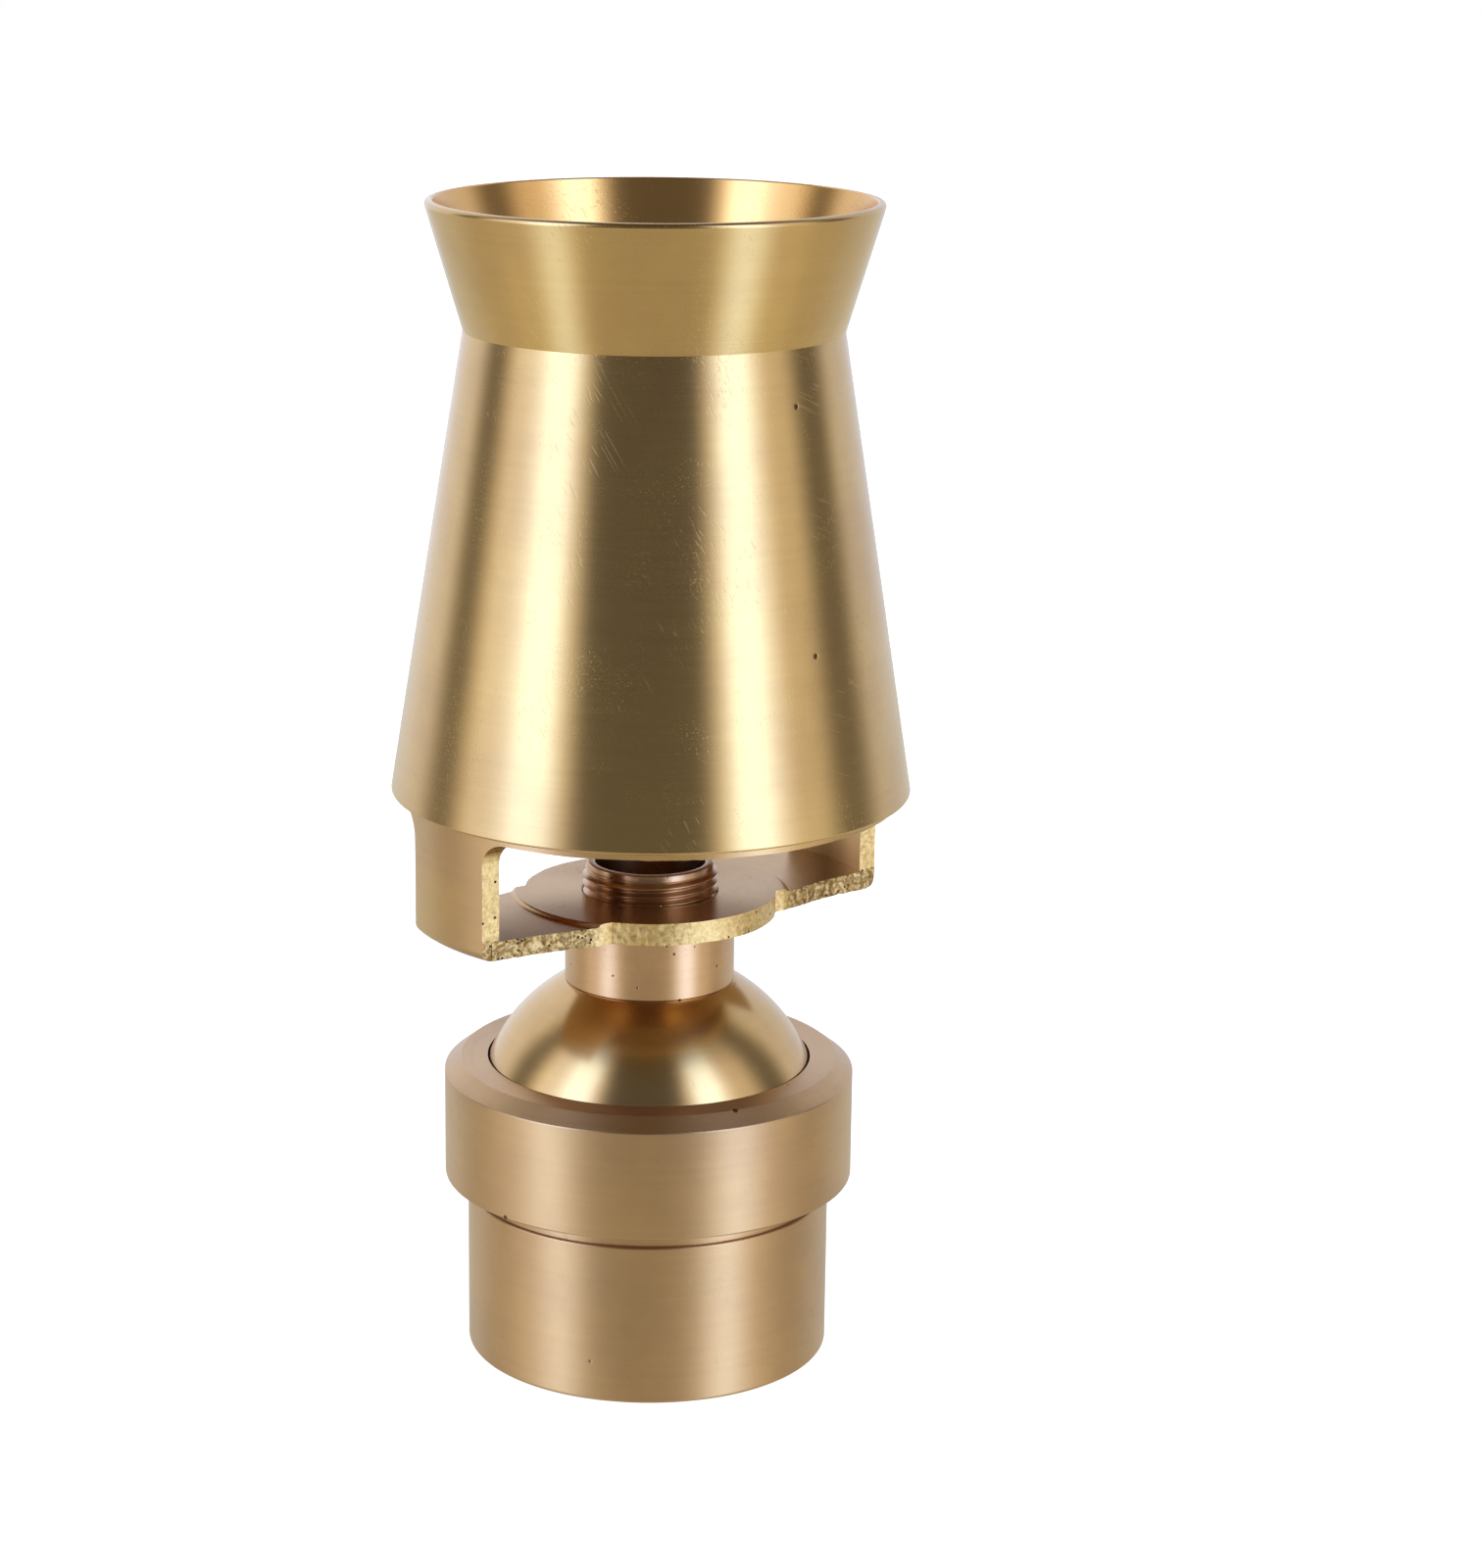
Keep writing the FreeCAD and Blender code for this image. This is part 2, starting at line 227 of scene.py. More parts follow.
def turned_brass(name, colour, tarnish, roughness, anisotropy=0.6, marks=1.0, worn=1.0,
                 pit_cell=3.4 * MM, pit_share=0.05, painted_warm_bounce=None):
    """Brass off the lathe: turning marks, fine scratches, small pits and uneven tarnish.

    Given a colour for the inner faces, faces that look towards the axis take it: a painted reflection,
    standing for the warmer light that brass bounces onto brass inside a hollow.
    """
    material = bpy.data.materials.new(name)
    g = Graph(material)
    place, radius, away = object_place(g)
    coarse = turning_marks(g, place, radius, away, 1400.0, arc=0.7)
    fine = turning_marks(g, place, radius, away, 5200.0, arc=4.0)
    cloud = g.noise(place, 55.0, 5.0, roughness=0.6)
    speck = g.noise(place, 700.0, 3.0, roughness=0.6)
    scratch = g.math("MAXIMUM", scratches(g, place, (0.5, 0.3, 0.0), 3.1),
                     scratches(g, place, (1.1, -0.7, 0.4), 11.7))
    scratch = g.math("MAXIMUM", scratch, scratches(g, place, (-0.3, 1.2, 0.9), 23.9))
    scratch = g.math("MULTIPLY", scratch, worn)
    pit = pits(g, place, pit_cell, pit_share)

    tone = g.mix(g.range(cloud, 0.38, 0.68), (*colour, 1), (*tarnish, 1))
    tone = g.mix(0.5, tone, g.add("CombineColor", {i: g.range(coarse, 0.2, 0.8, 0.95, 1.04)
                                                   for i in range(3)}).outputs[0], "MULTIPLY")
    tone = g.mix(g.math("MULTIPLY", g.range(speck, 0.6, 0.75), 0.25), tone, (*tarnish, 1))
    tone = g.mix(g.math("MULTIPLY", pit, 0.85), tone, PIT_BROWN)
    # painted reflection: faces turned towards the axis take a warmer colour for light bounced brass to
    # brass inside the hollow
    if painted_warm_bounce:
        facing = g.add("VectorMath", {0: g.add("NewGeometry").outputs["Normal"], 1: away},
                       operation="DOT_PRODUCT").outputs["Value"]
        tone = g.mix(g.math("LESS_THAN", facing, -0.3), tone, (*painted_warm_bounce, 1))

    rough = g.math("ADD", roughness - 0.05, g.math("MULTIPLY", cloud, 0.06))
    rough = g.math("ADD", rough, g.math("MULTIPLY", fine, 0.06))
    rough = g.math("ADD", rough, g.math("MULTIPLY", scratch, 0.1), clamp=True)

    height = g.math("MULTIPLY", g.math("ADD", g.math("MULTIPLY", coarse, 0.2), fine), marks)
    height = g.math("SUBTRACT", height, g.math("MULTIPLY", scratch, 0.7))
    height = g.math("SUBTRACT", height, g.math("MULTIPLY", pit, 14.0))
    bump = g.add("Bump", {"Strength": 1.0, "Distance": TURNED_BUMP, "Height": height}).outputs[0]
    tangent = g.add("Tangent", direction_type="RADIAL", axis="Z").outputs[0]
    g.surface({"Base Color": tone, "Metallic": 1.0, "Roughness": rough, "Normal": bump,
               "Tangent": tangent, "Anisotropic": anisotropy, "Anisotropic Rotation": 0.25})
    return material


def sawn_brass(name):
    """Sawn brass: filed smooth on legs and hub, torn with dark holes on the arms' faces."""
    material = bpy.data.materials.new(name)
    g = Graph(material)
    place = g.add("TexCoord").outputs["Object"]
    x, _, z = g.add("SeparateXYZ", {0: place}).outputs
    beyond_hub = g.range(g.math("ABSOLUTE", x), HUB_R - 2 * MM, HUB_R)
    torn = g.math("MULTIPLY", beyond_hub, g.range(z, FLOOR_TOP, FLOOR_TOP + 0.5 * MM, 1.0, 0.0))
    grain = g.noise(place, 1900.0, 4.0, roughness=0.7)
    cloud = g.noise(place, 260.0, 3.0)
    tone = g.mix(g.range(grain, 0.35, 0.65), SAWN_DARK, SAWN_LIGHT)
    tone = g.mix(g.math("MULTIPLY", g.range(cloud, 0.45, 0.7), 0.5), tone, SAWN_FILED)
    rough_tone = g.mix(g.range(grain, 0.42, 0.62), TORN_DARK, TORN_LIGHT)
    tone = g.mix(g.math("MULTIPLY", torn, 0.85), tone, rough_tone)
    hole = g.math("MAXIMUM", pits(g, place, 0.8 * MM, 0.14, 0.26),
                  g.math("MULTIPLY", torn, pits(g, place, 0.5 * MM, 0.3, 0.34)))
    tone = g.mix(hole, tone, HOLE_BROWN)
    height = g.math("SUBTRACT", grain, hole)
    height = g.math("MULTIPLY", height, g.range(torn, 0.0, 1.0, 0.5, 1.3))
    bump = g.add("Bump", {"Strength": 1.0, "Distance": SAWN_BUMP, "Height": height}).outputs[0]
    g.surface({"Base Color": tone, "Metallic": 1.0, "Normal": bump,
               "Roughness": g.range(grain, 0.2, 0.8, 0.28, 0.5)})
    return material


def polymer(name, light, dark, roughness, sheen=0.0):
    """A moulded or machined seal: mottled, with fine tool marks."""
    material = bpy.data.materials.new(name)
    g = Graph(material)
    place, radius, away = object_place(g)
    marks = turning_marks(g, place, radius, away, 4000.0)
    mottle = g.noise(place, 900.0, 4.0)
    tone = g.mix(g.range(mottle, 0.3, 0.7), (*dark, 1), (*light, 1))
    height = g.math("ADD", marks, g.math("MULTIPLY", mottle, 0.6))
    bump = g.add("Bump", {"Strength": 0.6, "Distance": SEAL_BUMP, "Height": height}).outputs[0]
    g.surface({"Base Color": tone, "Normal": bump, "Sheen Weight": sheen,
               "Roughness": g.range(marks, 0.2, 0.8, roughness - 0.08, roughness + 0.08)})
    return material


# ---------------------------------------------------------------- turned meshes
class Thread:
    """A right-handed helical vee thread in an outline, from height z0 to z1."""

    def __init__(self, crest_r, root_r, plain_r, pitch, z0, z1):
        self.crest_r, self.root_r, self.plain_r = crest_r, root_r, plain_r
        self.pitch, self.z0, self.z1 = pitch, z0, z1
        self.run_out = 0.5 * pitch      # the thread fades in and out over this height

    def rows(self, turn):
        """(r, z) down one column of the mesh, a share `turn` of the way round."""
        way = 1 if self.z1 > self.z0 else -1
        low, high = sorted((self.z0, self.z1))
        count = math.ceil(((high - low) / self.pitch + 1) * THREAD_ROWS)
        lead = turn - 1 if way > 0 else -turn
        points = []
        for k in range(count + 1):
            z = self.z0 + way * (k / THREAD_ROWS + lead) * self.pitch
            wave = 1 - abs(2 * ((k / THREAD_ROWS) % 1) - 1)
            z = min(max(z, low), high)
            fade = min(1, (z - low) / self.run_out, (high - z) / self.run_out)
            share = min(max((wave - ROOT_FLAT) / FLANK, 0), 1)
            r = self.root_r + (self.crest_r - self.root_r) * share
            points.append((self.plain_r + (r - self.plain_r) * fade, z))
        return points


def corner_place(corner, last):
    """Where an outline's entry starts, or ends if last is set."""
    if isinstance(corner, Thread):
        return Vector((corner.plain_r, corner.z1 if last else corner.z0))
    return Vector(corner[:2])


def rounded(corners, arc_steps=4):
    """A closed outline.  A corner is (r, z), or (r, z, radius) when it is rounded."""
    points = []
    for i, corner in enumerate(corners):
        if isinstance(corner, Thread) or len(corner) == 2:
            points.append(corner)
            continue
        here = Vector(corner[:2])
        back = (corner_place(corners[i - 1], True) - here).normalized()
        on = (corner_place(corners[(i + 1) % len(corners)], False) - here).normalized()
        half = back.angle(on) / 2
        centre = here + (back + on).normalized() * corner[2] / math.sin(half)
        start = here + back * corner[2] / math.tan(half) - centre
        end = here + on * corner[2] / math.tan(half) - centre
        # slerp gives unit vectors
        points += [tuple(centre + start.slerp(end, k / arc_steps) * corner[2])
                   for k in range(arc_steps + 1)]
    return points


def ball_arc(radius, z0, z1, count=24):
    """Outline points along a sphere about the ball's centre."""
    a0, a1 = (math.asin((z - BALL_Z) / radius) for z in (z0, z1))
    angles = [a0 + (a1 - a0) * k / count for k in range(count + 1)]
    return [(radius * math.cos(a), BALL_Z + radius * math.sin(a)) for a in angles]


def new_object(name, mesh, materials):
    data = bpy.data.meshes.new(name)
    mesh.to_mesh(data)
    mesh.free()
    obj = bpy.data.objects.new(name, data)
    for material in materials:
        data.materials.append(material)
    bpy.context.scene.collection.objects.link(obj)
    return obj


def smooth(obj, degrees=38):
    """Smooth shading with the sharp edges kept and the flats true."""
    for face in obj.data.polygons:
        face.use_smooth = True
    obj.data.set_sharp_from_angle(angle=math.radians(degrees))
    weighted = obj.modifiers.new("true_flats", "WEIGHTED_NORMAL")
    weighted.keep_sharp = True


def turned(name, corners, material, steps=TURN_STEPS):
    """The closed outline turned about Z."""
    outline = rounded(corners)
    mesh = bmesh.new()
    columns = []
    for i in range(steps + 1):
        turn = i / steps
        column = []
        for entry in outline:
            column += entry.rows(turn) if isinstance(entry, Thread) else [entry]
        c, s = math.cos(math.tau * turn), math.sin(math.tau * turn)
        columns.append([mesh.verts.new((r * c, r * s, z)) for r, z in column])
    for left, right in zip(columns, columns[1:]):
        for k, corner in enumerate(left):
            mesh.faces.new((left[k - 1], corner, right[k], right[k - 1]))
    bmesh.ops.remove_doubles(mesh, verts=mesh.verts, dist=WELD)
    bmesh.ops.recalc_face_normals(mesh, faces=mesh.faces)
    return new_object(name, mesh, [material])


def stand_for(piece, node, body):
    """The piece takes the place of its CAD node."""
    smooth(piece)
    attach(piece, body)
    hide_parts(node)


# ---------------------------------------------------------------- sawn windows of the yoke
def evenly(points, step):
    """The same closed line, with a point at least every step."""
    line = []
    for a, b in zip(points, points[1:] + points[:1]):
        a, b = Vector(a), Vector(b)
        if (b - a).length > WELD:
            count = math.ceil((b - a).length / step)
            line += [a.lerp(b, k / count) for k in range(count)]
    return line


def sawn_depth(place, rough):
    """How far the saw bit in or out there: grains, chips and smoother filed spots."""
    filed = noise.noise(place * FILED_CELLS + Vector((7, 3, 1)))
    torn = abs(place.x) > HUB_R and place.z < HUB_TOP
    grip = 1.5 if torn else min(max(0.45 + 1.6 * filed, 0.1), 0.8)
    grain = noise.fractal(place * GRAIN_CELLS, 0.8, 2.2, 3)
    chip = max(0.0, noise.noise(place * CHIP_CELLS + Vector((1, 9, 4))) - 0.28)
    wave = noise.noise(place * WAVE_CELLS + Vector((4, 8, 2)))
    return rough * (grip * (0.9 * grain + 1.8 * chip) + 1.1 * wave)


def sawn_block(name, outline, w0, w1, to_place, material, rough, step=SAW_STEP):
    """A closed block to cut with: an anticlockwise outline drawn out from w0 to w1.

    Its sides are rough.
    """
    line = evenly(outline, step)
    count = max(2, round((w1 - w0) / step))
    mesh = bmesh.new()
    rows = []
    for k in range(count + 1):
        w = w0 + (w1 - w0) * k / count
        row = []
        for i, here in enumerate(line):
            along = (line[(i + 1) % len(line)] - line[i - 1]).normalized()
            outward = Vector((along.y, -along.x))
            moved = here + outward * sawn_depth(to_place(here.x, here.y, w), rough)
            row.append(mesh.verts.new(to_place(moved.x, moved.y, w)))
        rows.append(row)
    for low, high in zip(rows, rows[1:]):
        for i, corner in enumerate(low):
            mesh.faces.new((low[i - 1], corner, high[i], high[i - 1]))
    mesh.faces.new(rows[0])
    mesh.faces.new(rows[-1])
    bmesh.ops.recalc_face_normals(mesh, faces=mesh.faces)
    return new_object(name, mesh, [material])


def combine(target, operation, others):
    """Applies boolean operations to target and removes the others."""
    for other in others:
        modifier = target.modifiers.new("step", "BOOLEAN")
        modifier.operation = operation
        modifier.object = other
        modifier.solver = "EXACT"
        modifier.material_mode = "TRANSFER"
        bpy.context.view_layer.update()
        shaped = target.evaluated_get(bpy.context.evaluated_depsgraph_get())
        data = bpy.data.meshes.new_from_object(shaped)
        target.modifiers.clear()
        target.data = data
        bpy.data.objects.remove(other)


def window_blocks(material):
    """Blocks that saw the cup's wall away between the legs, one for each window."""
    out, low = YOKE_R + SAW_CLEAR, YOKE_BOTTOM - 2 * MM
    outline = rounded([(LEG_HALF, low), (out, low), (out, WINDOW_TOP),
                       (LEG_HALF, WINDOW_TOP, WINDOW_FILLET)], 8)
    blocks = []
    for side in (1, -1):
        def to_place(y, z, x, side=side):
            return Vector((x, side * y, z))
        blocks.append(sawn_block(f"window_{side}", outline, -out, out, to_place, material,
                                 WINDOW_ROUGH))
    return blocks


def floor_blocks(material):
    """Blocks that saw the floor away outside its two arms, round the hub."""
    edge = [(x, -y) for x, y in ARM_EDGE]
    rim = HUB_R + 0.02 * MM
    start = math.asin(-ARM_EDGE[-1][1] / rim)
    end = -math.pi - start
    angles = [start + (end - start) * k / HUB_STEPS for k in range(HUB_STEPS + 1)]
    hub = [(rim * math.cos(angle), rim * math.sin(angle)) for angle in angles]
    far = YOKE_R + SAW_CLEAR
    outline = edge + hub + [(-x, y) for x, y in reversed(edge)]
    outline += [(-far, -LEG_HALF), (-far, -far), (far, -far), (far, -LEG_HALF)]
    blocks = []
    for side in (1, -1):
        def to_place(x, y, z, side=side):
            return Vector((side * x, side * y, z))
        blocks.append(sawn_block(f"floor_{side}", outline, YOKE_BOTTOM - 1 * MM,
                                 HUB_TOP + 1 * MM, to_place, material, FLOOR_ROUGH))
    return blocks


# ---------------------------------------------------------------- pieces
def make_base(material):
    bowl_r, bore_r = BALL_R + 0.4 * MM, BALL_R + 0.15 * MM
    bowl = ball_arc(bowl_r, POCKET_FLOOR, SOCKET_DEPTH, 8)
    piece = turned("base_body_visual", [
        (SOCKET_R + SOCKET_LEAD, 0), (BASE_R, 0, SOFT_EDGE), (BASE_R, BASE_TOP, EDGE),
        (RELIEF_R, BASE_TOP, CORNER), (RELIEF_R, RELIEF_TOP),
        Thread(COLLAR_R, COLLAR_ROOT, RELIEF_R + 0.4 * MM, COLLAR_PITCH, RELIEF_TOP, COLLAR_TOP),
        (bore_r, COLLAR_TOP), (bore_r, POCKET_TOP + 0.6 * MM), (POCKET_R, POCKET_TOP),
        (POCKET_R, POCKET_FLOOR), *bowl, (SOCKET_R, SOCKET_DEPTH),
        Thread(SOCKET_R + SOCKET_GROOVE, SOCKET_R, SOCKET_R, SOCKET_PITCH,
               SOCKET_DEPTH - 0.4 * MM, SOCKET_LEAD)], material)
    stand_for(piece, "base_body", "base")


def make_nut(material):
    lip = ball_arc(LIP_SPHERE_R, NUT_TOP, LIP_UNDERSIDE, 8)
    pocket_r = reach("gland_ring") + 0.05 * MM
    piece = turned("retaining_nut_visual", [
        (NUT_BORE_R + NUT_GROOVE, NUT_BOTTOM), (NUT_R, NUT_BOTTOM, EDGE),
        (NUT_R, NUT_TOP - NUT_CUT_Z, EDGE), (NUT_R - NUT_CUT_R, NUT_TOP, EDGE),
        *lip, (pocket_r, LIP_UNDERSIDE), (pocket_r, NUT_THREAD_TOP),
        Thread(NUT_BORE_R + NUT_GROOVE, NUT_BORE_R, NUT_BORE_R, COLLAR_PITCH, NUT_THREAD_TOP,
               NUT_BOTTOM + NUT_GROOVE)], material)
    stand_for(piece, "retaining_nut", "nut")


def make_ball(material):
    piece = turned("swivel_ball_visual", [
        (BALL_MOUTH_R, BALL_FLOOR), *ball_arc(BALL_R, BALL_FLOOR, BALL_TOP, 64),
        (TUBE_HOLE_R, BALL_TOP), (TUBE_HOLE_R, TUBE_BOTTOM), (TUBE_BORE_R, TUBE_BOTTOM),
        (TUBE_BORE_R, TUBE_BOTTOM - 1 * MM)], material)
    stand_for(piece, "swivel_ball", "ball")


def make_tube(material):
    piece = turned("jet_tube_visual", [
        (TUBE_BORE_R, TUBE_BOTTOM), (THREAD_R, TUBE_BOTTOM, EDGE), (THREAD_R, BALL_TOP),
        (NECK_R, BALL_TOP, CORNER), (NECK_R, NECK_TOP, EDGE), (RIM_R, NECK_TOP, CORNER),
        Thread(THREAD_R, THREAD_ROOT, RIM_R, THREAD_PITCH, THREAD_BOTTOM, THREAD_TOP),
        (RIM_R, TUBE_TOP, 0.2 * MM), (TUBE_BORE_R, TUBE_TOP, 0.35 * MM)], material)
    stand_for(piece, "jet_tube", "ball")


def make_yoke(turned_metal, sawn_metal):
    wall = turned("yoke_visual", [
        (YOKE_INNER_R, YOKE_BOTTOM), (YOKE_R, YOKE_BOTTOM, FOOT_ROUND),
        (YOKE_R, YOKE_TOP, SOFT_EDGE), (YOKE_INNER_R, YOKE_TOP, EDGE)], turned_metal)
    combine(wall, "DIFFERENCE", window_blocks(sawn_metal))
    floor = turned("floor", [
        (LOCK_BORE_R, YOKE_BOTTOM), (FLOOR_R, YOKE_BOTTOM), (FLOOR_R, FLOOR_TOP),
        (DISC_R, FLOOR_TOP, DISC_ROUND), (DISC_R - DISC_BEVEL, HUB_TOP, DISC_ROUND),
        (HUB_BORE_R, HUB_TOP, EDGE), (HUB_BORE_R, LOCK_TOP), (LOCK_BORE_R, LOCK_TOP)],
        turned_metal)
    combine(floor, "DIFFERENCE", floor_blocks(sawn_metal))
    combine(wall, "UNION", [floor])
    stand_for(wall, "yoke", "hood")


def make_hood(material):
    taper = (HOOD_R - WAIST_R) / (WAIST_Z - HOOD_BOTTOM)
    cone_r = HOOD_R - taper * (HOOD_BORE_TOP - HOOD_BOTTOM) - CONE_WALL
    piece = turned("hood_shell_visual", [
        (HOOD_BORE_R, HOOD_BOTTOM, 0.1 * MM), (HOOD_R, HOOD_BOTTOM, EDGE),
        (WAIST_R, WAIST_Z, CORNER), (MOUTH_R, MOUTH_Z, SOFT_EDGE),
        (MOUTH_R - MOUTH_WALL, MOUTH_Z, EDGE), (WAIST_R - CONE_WALL, WAIST_Z, CORNER),
        (cone_r, HOOD_BORE_TOP, CORNER), (HOOD_BORE_R, HOOD_BORE_TOP)], material)
    stand_for(piece, "hood_shell", "hood")


def finish_ring(node, material):
    """A hidden ring keeps its CAD shape and gets its own material."""
    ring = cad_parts[node]
    ring.data.materials.clear()
    ring.data.materials.append(material)


def make_pieces():
    satin = turned_brass("brass_satin", (0.58, 0.37, 0.19), (0.52, 0.33, 0.18), 0.36)
    make_base(satin)
    make_nut(satin)
    make_ball(turned_brass("brass_mirror", (0.64, 0.42, 0.18), (0.58, 0.37, 0.17), 0.21, 0.5,
                           marks=0.25, worn=0.4, pit_share=0.01))
    make_tube(turned_brass("brass_tube", (0.62, 0.39, 0.22), (0.50, 0.30, 0.18), 0.28,
                           pit_cell=1.6 * MM, pit_share=0.6))
    make_yoke(turned_brass("brass_yoke", (0.60, 0.39, 0.18), (0.54, 0.34, 0.18), 0.3),
              sawn_brass("brass_sawn"))
    # the hood's inner faces take a painted warm reflection of its own brass
    make_hood(turned_brass("brass_hood", (0.62, 0.41, 0.17), (0.56, 0.36, 0.16), 0.22,
                           painted_warm_bounce=(0.73, 0.42, 0.15)))
    rubber = polymer("black_rubber", (0.035, 0.035, 0.037), (0.02, 0.02, 0.021), 0.55, sheen=0.3)
    ptfe = polymer("white_ptfe", (0.86, 0.85, 0.82), (0.78, 0.77, 0.73), 0.42)
    for node in ("seat_o_ring", "hub_lock_ring"):
        finish_ring(node, rubber)
    for node in ("seat_ring", "gland_ring"):
        finish_ring(node, ptfe)


# ---------------------------------------------------------------- stage, light and camera
TOWARDS_CAMERA = math.radians(-125)     # direction of the camera, seen from the object
CAMERA_OUT, CAMERA_UP = 0.4297, 0.1818  # metres from the axis and above the base's foot
CAMERA_PITCH, CAMERA_ROLL = math.radians(14.66), math.radians(0.43)
CAMERA_LENS, CAMERA_SHIFT = 86.4, 0.0575
STAGE_R, STAGE_DROP = 3.0, 0.02 * MM    # the floor lies a hair below the base
SOFTBOX_OUT, SOFTBOX_HEIGHT = 0.9, 0.95  # metres
SOFTBOX_UP, SOFTBOX_COLOUR = 22, (0.45, 0.75, 1.0)  # degrees above level, and its blue
MIDDLE_HEIGHT = 0.07                    # about half the object's height


def level_direction(degrees_right):
    """Level direction, that many degrees to the right of the camera's."""
    angle = TOWARDS_CAMERA + math.radians(degrees_right)
    return Vector((math.cos(angle), math.sin(angle), 0))


def make_camera():
    data = bpy.data.cameras.new("camera")
    data.sensor_width = 36
    data.lens, data.shift_x = CAMERA_LENS, CAMERA_SHIFT
    data.clip_start, data.clip_end = 0.01, 20
    camera = bpy.data.objects.new("camera", data)
    bpy.context.scene.collection.objects.link(camera)
    back = level_direction(0) * math.cos(CAMERA_PITCH) + Vector((0, 0, math.sin(CAMERA_PITCH)))
    camera.location = level_direction(0) * CAMERA_OUT + Vector((0, 0, CAMERA_UP))
    camera.rotation_mode = "QUATERNION"
    roll = Quaternion((0, 0, 1), CAMERA_ROLL)
    camera.rotation_quaternion = (-back).to_track_quat("-Z", "Y") @ roll
    bpy.context.scene.camera = camera


def make_softbox(name, degrees_right, width):
    """Tall cool lamp, standing where the studio's wall has a lamp; the brass reflects both."""
    data = bpy.data.lights.new(name, "AREA")
    data.shape = "RECTANGLE"
    data.size, data.size_y = width, SOFTBOX_HEIGHT
    data.energy = math.pi * width * SOFTBOX_HEIGHT      # a radiance of one
    data.color = SOFTBOX_COLOUR
    light = bpy.data.objects.new(name, data)
    bpy.context.scene.collection.objects.link(light)
    elevation = math.radians(SOFTBOX_UP)
    away = level_direction(degrees_right) * math.cos(elevation)
    away += Vector((0, 0, math.sin(elevation)))
    light.location = away * SOFTBOX_OUT + Vector((0, 0, MIDDLE_HEIGHT))
    light.rotation_mode = "QUATERNION"
    light.rotation_quaternion = (-away).to_track_quat("-Z", "Y")


# the studio, set until its reflections lay where the photo's do: on each side, going
# outwards from the camera, come a lamp, its reflector, a black flag and a pale wall.
# Each pair is the angle in degrees where a zone starts, and its brightness
DARK_ROOM = 0.14
LEFT_WALLS = [(39, 1.8), (71, 1.3), (93, 0.24), (116, 1.0)]
RIGHT_WALLS = [(31, 1.8), (62, 0.95), (87, 0.2), (114, 0.82)]
# the lamps and reflectors again, dulled, in the table top
DIM_TABLE = 0.76
LEFT_TABLE = [(48, 1.75), (68, 0.95), (96, 0.74)]
RIGHT_TABLE = [(41, 1.9), (64, 0.98), (92, 0.68)]
WALL_SOFTNESS, TABLE_SOFTNESS = 9.5, 11  # degrees either side of where a zone starts
TABLE_TINT, FAR_TINT = (1.0, 0.96, 0.76, 1), (1.0, 1.07, 1.24, 1)
CEILING, BLACK = (0.12, 0.09, 0.04, 1), (0, 0, 0, 1)
LAMP_GREEN, LAMP_BLUE = 1.4, 2.2        # powers of the brightness
# where one part blends into the next, by the rise of a direction: 1 is straight up
TABLE_EDGE, CEILING_EDGE = (-0.22, -0.13), (0.6, 0.93)
FOOT_EDGE, FOOT_SHADE = (-0.8, -0.25), 0.3  # the table darkens towards the object's foot
FAR_EDGE = (-0.55, -0.3)                # likewise, but 1 is level and straight to the camera


def studio_side(g, angle, dim, zones, softness):
    """Brightness on one side: dim near the camera, then each zone from its angle outwards."""
    level = dim
    for start, brightness in zones:
        level = g.range(angle, start - softness, start + softness, level, brightness)
    return level


def studio_ring(g, angle, dim, left, right, softness):
    """Brightness all the way round, from angle in degrees to the right of the camera."""
    left_side = studio_side(g, g.math("MULTIPLY", angle, -1.0), dim, left, softness)
    return g.math("MAXIMUM", left_side, studio_side(g, angle, dim, right, softness))


def lamp_colour(g, value):
    """Grey up to a brightness of one, and cooler the brighter it is above that."""
    green = g.math("MAXIMUM", value, g.math("POWER", value, LAMP_GREEN))
    blue = g.math("MAXIMUM", value, g.math("POWER", value, LAMP_BLUE))
    return g.add("CombineColor", {0: value, 1: green, 2: blue}).outputs[0]


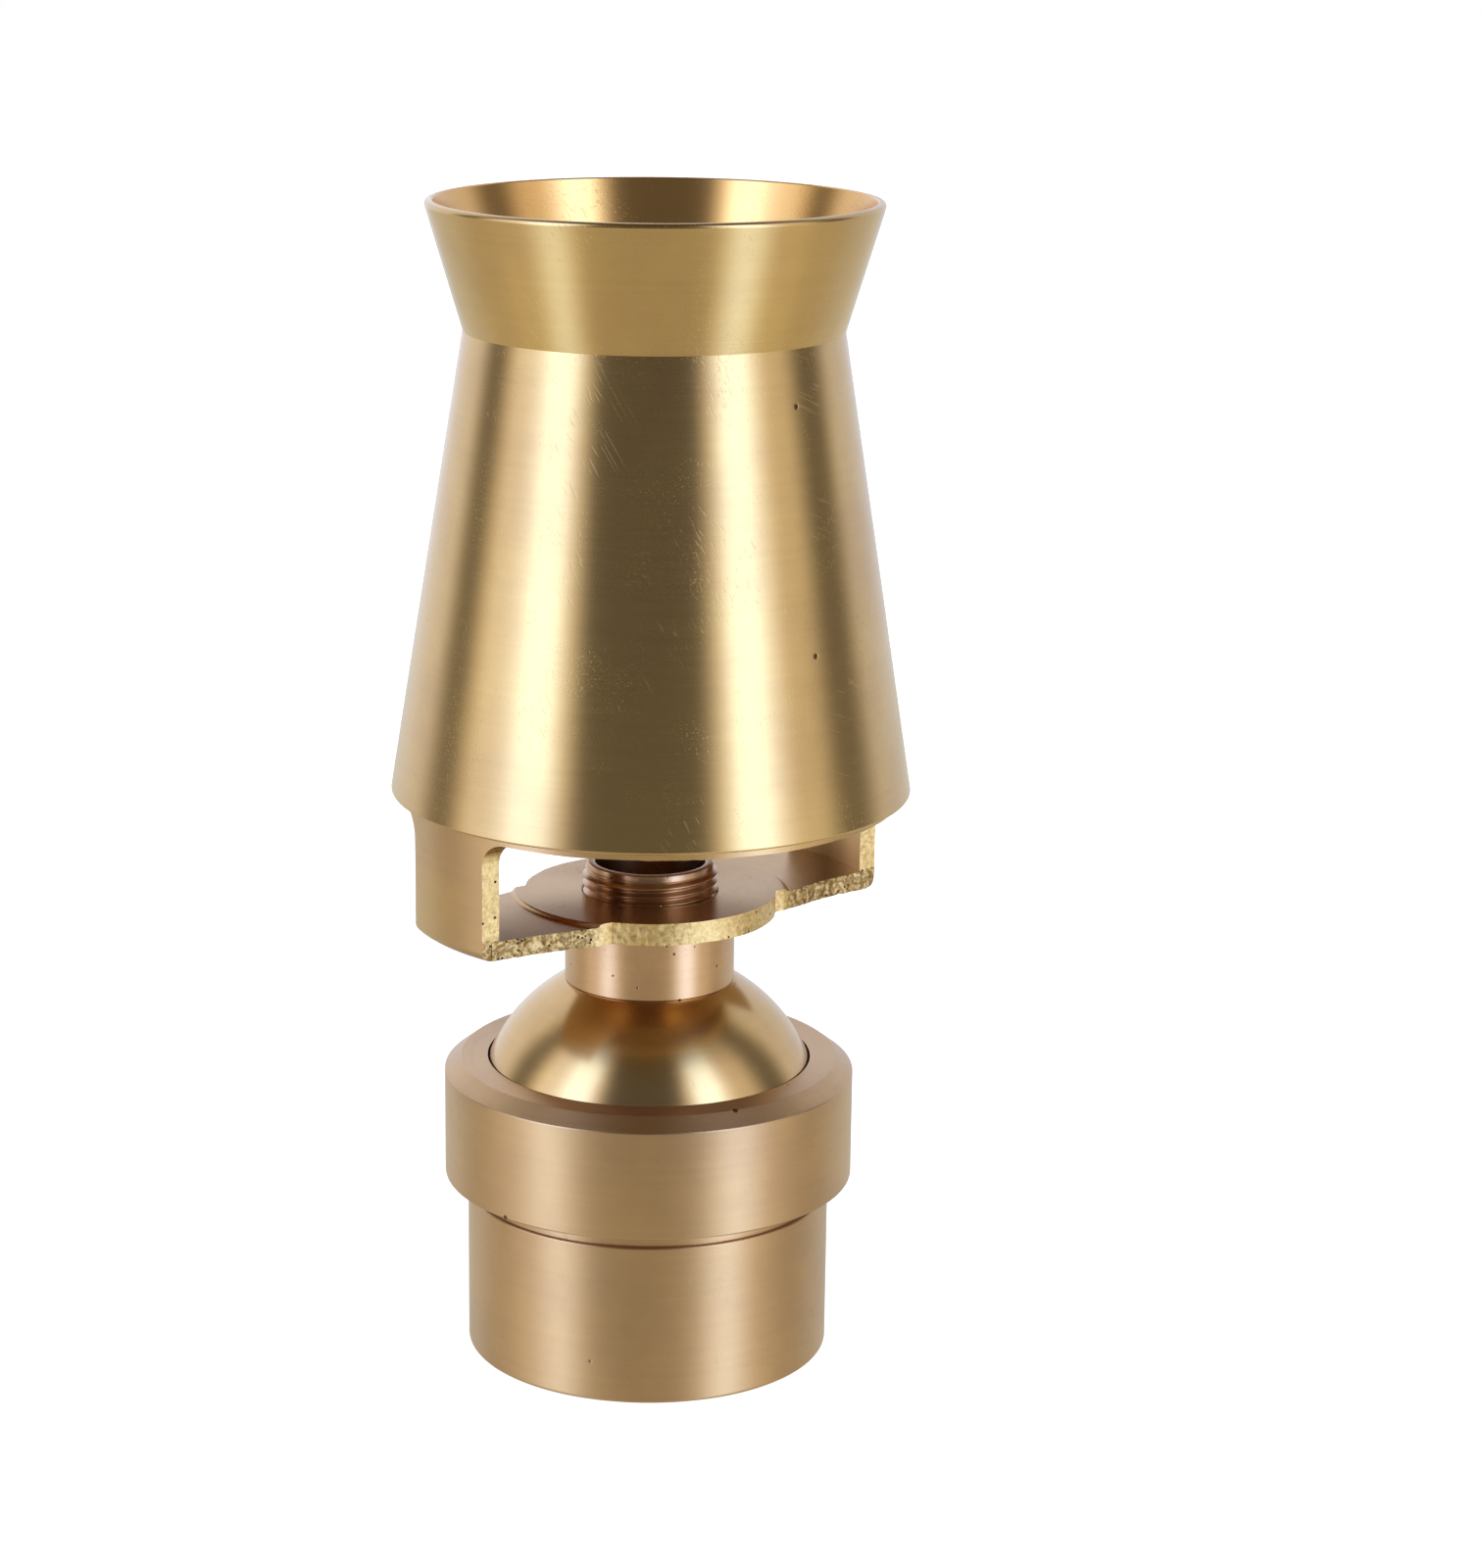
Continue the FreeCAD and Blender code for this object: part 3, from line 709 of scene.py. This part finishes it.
def make_world():
    """Studio round the object: a dark room behind the camera, pale walls beside and beyond."""
    world = bpy.data.worlds.new("studio")
    bpy.context.scene.world = world
    g = Graph(world)
    way = g.add("TexCoord").outputs["Generated"]
    turned_way = g.add("VectorRotate",
                       {"Vector": way, "Axis": (0, 0, 1), "Angle": -TOWARDS_CAMERA},
                       rotation_type="AXIS_ANGLE").outputs[0]
    parts = g.add("SeparateXYZ", {0: turned_way})
    angle = g.math("DEGREES", g.math("ARCTAN2", parts.outputs[1], parts.outputs[0]))
    walls = lamp_colour(g, studio_ring(g, angle, DARK_ROOM, LEFT_WALLS, RIGHT_WALLS, WALL_SOFTNESS))
    table = lamp_colour(g, studio_ring(g, angle, DIM_TABLE, LEFT_TABLE, RIGHT_TABLE, TABLE_SOFTNESS))
    up = g.add("SeparateXYZ", {0: way}).outputs[2]
    table = g.mix(1.0, table, TABLE_TINT, "MULTIPLY")
    table = g.mix(g.range(up, *FOOT_EDGE, FOOT_SHADE, 0.0), table, BLACK)
    room = g.mix(g.range(up, *CEILING_EDGE), walls, CEILING)
    light = g.mix(g.range(up, *TABLE_EDGE, 1.0, 0.0), room, table)
    light = g.mix(g.range(parts.outputs[0], *FAR_EDGE, 1.0, 0.0), light,
                  g.mix(1.0, light, FAR_TINT, "MULTIPLY"))
    background = g.add("Background", {"Color": light, "Strength": 1.0})
    output = g.add("OutputWorld")
    g.tree.links.new(background.outputs[0], output.inputs["Surface"])


def plain_material(name, tone, glow):
    """A matt grey of that tone, which also glows white by that much."""
    material = bpy.data.materials.new(name)
    g = Graph(material)
    place = g.add("TexCoord").outputs["Object"]
    mottle = g.range(g.noise(place, 30.0, 3.0), 0.3, 0.7, tone - 0.01, tone + 0.01)
    colour = g.add("CombineColor", {i: mottle for i in range(3)}).outputs[0]
    g.surface({"Base Color": colour, "Roughness": 0.8, "Specular IOR Level": 0.0,
               "Emission Color": (1, 1, 1, 1), "Emission Strength": glow})
    return material


def make_stage():
    """Pale floor and a plain pale backdrop; the brass sees the studio, not these."""
    mesh = bmesh.new()
    bmesh.ops.create_circle(mesh, cap_ends=True, segments=128, radius=STAGE_R)
    floor = new_object("floor_sheet", mesh, [plain_material("pale_floor", 0.9, 0.75)])
    floor.location.z = -STAGE_DROP
    mesh = bmesh.new()
    bmesh.ops.create_uvsphere(mesh, u_segments=64, v_segments=32, radius=STAGE_R)
    dome = new_object("backdrop", mesh, [plain_material("pale_backdrop", 0.0, 1.0)])
    for obj in (floor, dome):
        obj.visible_glossy = False
        obj.visible_transmission = False
    dome.visible_diffuse = False
    dome.visible_shadow = False


make_camera()
make_pieces()
make_world()
make_softbox("softbox_left", -55, 0.30)
make_softbox("softbox_right", 46, 0.28)
make_stage()
bpy.context.scene.view_settings.view_transform = "Standard"
